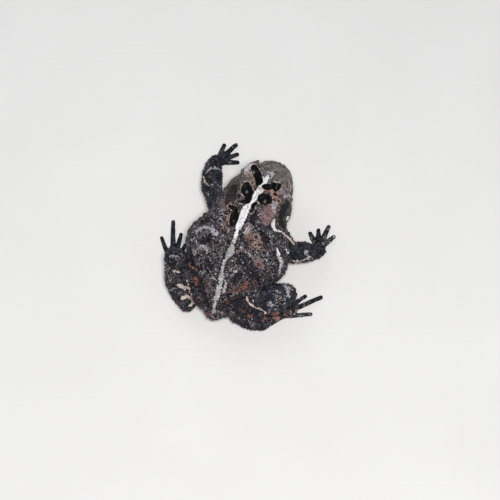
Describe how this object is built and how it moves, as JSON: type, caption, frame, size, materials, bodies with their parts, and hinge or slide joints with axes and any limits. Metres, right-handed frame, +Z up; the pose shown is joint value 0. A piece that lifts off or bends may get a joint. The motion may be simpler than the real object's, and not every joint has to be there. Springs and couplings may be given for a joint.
{
  "type": "american toad",
  "caption": "Life-size american toad squatting on its belly, head turned slightly right, left arm reaching forward, hind legs folded.",
  "frame": {"origin": "middle of the bounding box at the level of the floor that the belly, hands and feet rest on", "axes": "+Z up, the snout towards -Y, the animal's left side towards +X"},
  "size_m": [0.0768, 0.086, 0.0288],
  "materials": {
    "back_skin": "dry, warty, near black with a grey and pinkish network and a white line down the back",
    "head_skin": "smoother brownish grey skin with black patches",
    "gland_skin": "smooth, pinkish brown, finely pitted",
    "limb_skin": "dark bluish grey with pale bars and cream and orange spots",
    "eye": "wet, glossy, gold and black iris with a level pupil"
  },
  "bodies": {
    "root": {"head": "head_skin", "torso": "back_skin", "eye_right": "eye", "eye_left": "eye", "parotoid_gland_right": "gland_skin", "parotoid_gland_left": "gland_skin", "upper_arm_right": "limb_skin", "upper_arm_left": "limb_skin", "forearm_right": "limb_skin", "forearm_left": "limb_skin", "hand_right": "limb_skin", "hand_left": "limb_skin", "thigh_right": "limb_skin", "thigh_left": "limb_skin", "shank_right": "limb_skin", "shank_left": "limb_skin", "tarsus_right": "limb_skin", "tarsus_left": "limb_skin", "foot_right": "limb_skin", "foot_left": "limb_skin"}
  },
  "joints": []
}
